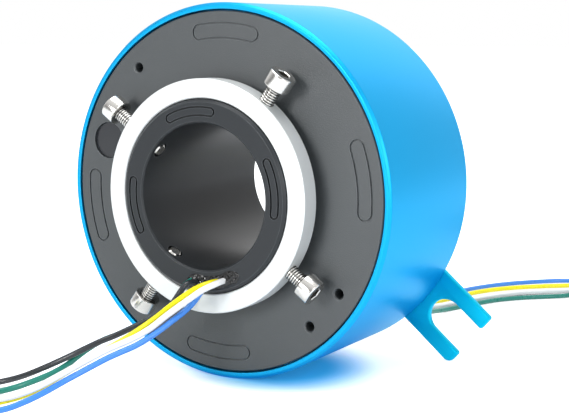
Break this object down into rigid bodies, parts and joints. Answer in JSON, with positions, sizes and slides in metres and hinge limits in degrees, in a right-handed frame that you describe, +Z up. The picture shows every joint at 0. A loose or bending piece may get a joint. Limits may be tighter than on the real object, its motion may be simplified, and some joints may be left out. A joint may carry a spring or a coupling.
{
  "type": "through bore slip ring",
  "caption": "Drum-shaped through-bore slip ring with a screw-clamped sleeve, blue housing, black covers, anti-rotation fork and loose lead wires on both sides.",
  "frame": {"origin": "on the shaft axis, in the plane of the housing's front rim", "axes": "+Y along the shaft from the clamp ring towards the fork, +Z up, +X to the right seen from the front"},
  "size_m": [0.172, 0.2686, 0.099],
  "materials": {
    "housing": "satin blue anodised",
    "cover": "fine textured black moulding",
    "plug": "smooth black moulding",
    "fork": "satin blue anodised plate",
    "screw": "nickel plated steel",
    "bearing_race": "ground bearing steel",
    "bearing_ball": "polished bearing steel",
    "sleeve": "satin black anodised",
    "clamp_ring": "fine turned, bright",
    "conductor": "gold plated brass",
    "insulator": "moulded resin",
    "spring_steel": "phosphated spring steel",
    "copper": "bare copper",
    "resin": "glossy cast epoxy",
    "block": "glass fibre laminate",
    "brush": "gold alloy wire",
    "board": "circuit board laminate",
    "lead_black": "smooth insulation",
    "lead_green": "smooth insulation",
    "lead_yellow": "smooth insulation",
    "lead_white": "smooth insulation",
    "lead_blue": "smooth insulation",
    "lead_coil": "coiled leads",
    "tie": "nylon band"
  },
  "bodies": {
    "stator": {"housing": "housing", "front_cover": "cover", "rear_cover": "cover", "blanking_plug": "plug", "anti_rotation_fork": "fork", "fork_screws": "screw", "front_outer_race": "bearing_race", "rear_outer_race": "bearing_race", "brush_block_upper": "block", "brush_block_lower": "block", "brushes_upper": "brush", "brushes_lower": "brush", "terminal_board": "board", "stator_inner_leads": "lead_white", "stator_resin": "resin", "stator_lead_black": "lead_black", "stator_lead_green": "lead_green", "stator_lead_yellow": "lead_yellow", "stator_lead_white": "lead_white", "stator_lead_blue": "lead_blue", "stator_lead_coil": "lead_coil", "stator_coil_tie": "tie"},
    "rotor": {"rotor_sleeve": "sleeve", "clamp_ring": "clamp_ring", "clamp_screw_1": "screw", "clamp_screw_2": "screw", "clamp_screw_3": "screw", "clamp_screw_4": "screw", "front_inner_race": "bearing_race", "rear_inner_race": "bearing_race", "conductor_ring_1": "conductor", "conductor_ring_2": "conductor", "conductor_ring_3": "conductor", "conductor_ring_4": "conductor", "conductor_ring_5": "conductor", "insulating_washers": "insulator", "stack_spacer": "bearing_race", "retaining_ring": "spring_steel", "rotor_inner_leads": "copper", "rotor_resin": "resin", "rotor_lead_black": "lead_black", "rotor_lead_green": "lead_green", "rotor_lead_yellow": "lead_yellow", "rotor_lead_white": "lead_white", "rotor_lead_blue": "lead_blue", "rotor_lead_coil": "lead_coil", "rotor_coil_tie": "tie"},
    "front_ball_set": {"front_balls": "bearing_ball"},
    "rear_ball_set": {"rear_balls": "bearing_ball"}
  },
  "joints": [
    {"name": "rotor_spin", "type": "hinge", "parent": "stator", "child": "rotor", "pos_m": [0, 0, 0], "axis": [0, 1, 0], "continuous": true},
    {"name": "front_cage_spin", "type": "hinge", "parent": "stator", "child": "front_ball_set", "pos_m": [0, 0.0071, 0], "axis": [0, 1, 0], "continuous": true},
    {"name": "rear_cage_spin", "type": "hinge", "parent": "stator", "child": "rear_ball_set", "pos_m": [0, 0.0401, 0], "axis": [0, 1, 0], "continuous": true}
  ],
  "couplings": [
    {"joint": "front_cage_spin", "follows": "rotor_spin", "ratio": 0.4661},
    {"joint": "rear_cage_spin", "follows": "rotor_spin", "ratio": 0.4661}
  ]
}
